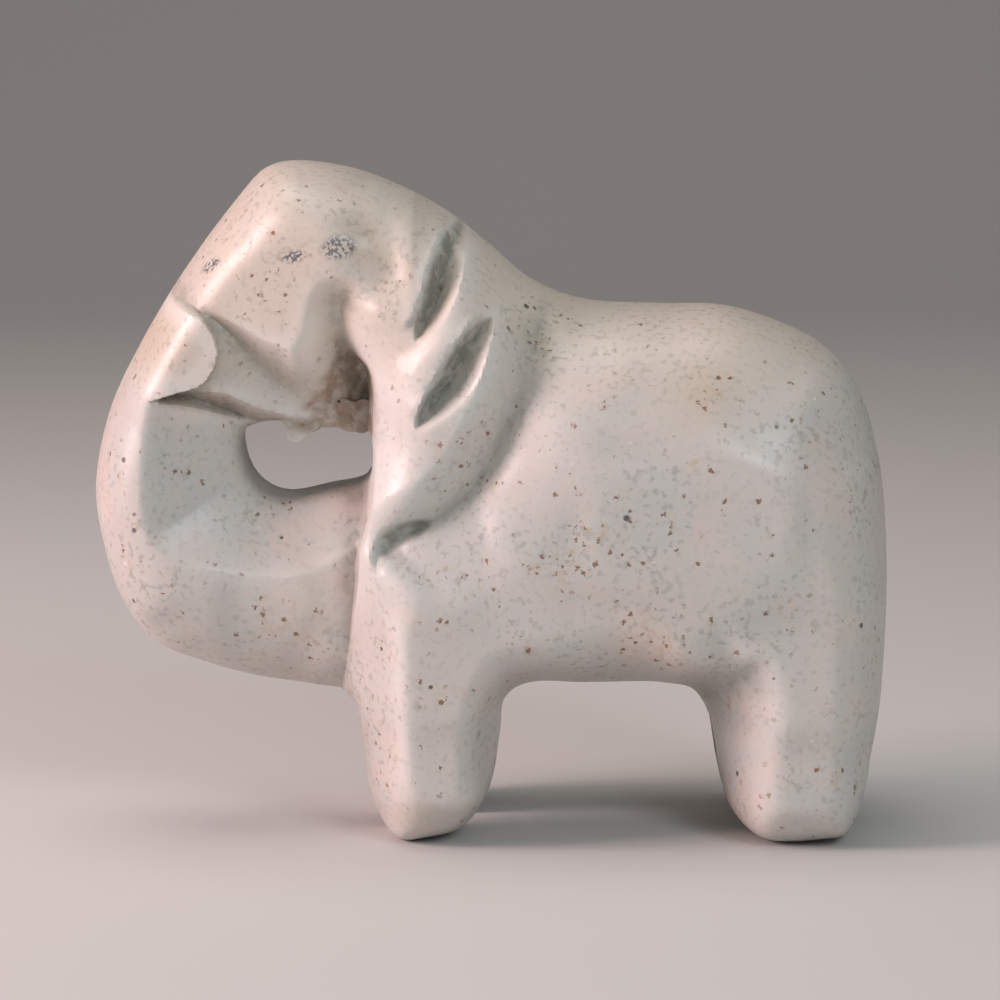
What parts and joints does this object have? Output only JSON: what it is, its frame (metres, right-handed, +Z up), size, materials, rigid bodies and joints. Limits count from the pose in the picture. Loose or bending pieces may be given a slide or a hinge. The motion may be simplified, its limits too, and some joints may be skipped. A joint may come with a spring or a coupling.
{
  "type": "soapstone elephant sculpture",
  "caption": "Small hand-carved stone elephant on all fours, its trunk curled back to the chest around a hole, with leaf-shaped cuts in the ears.",
  "frame": {"origin": "on the ground under the middle of the elephant's bounding box", "axes": "+X from the trunk to the rump, +Y to the elephant's right side, +Z up; the elephant looks along -X"},
  "size_m": [0.0583, 0.0268, 0.0491],
  "materials": {
    "soapstone": "satin"
  },
  "bodies": {
    "root": {"elephant": "soapstone"}
  },
  "joints": []
}
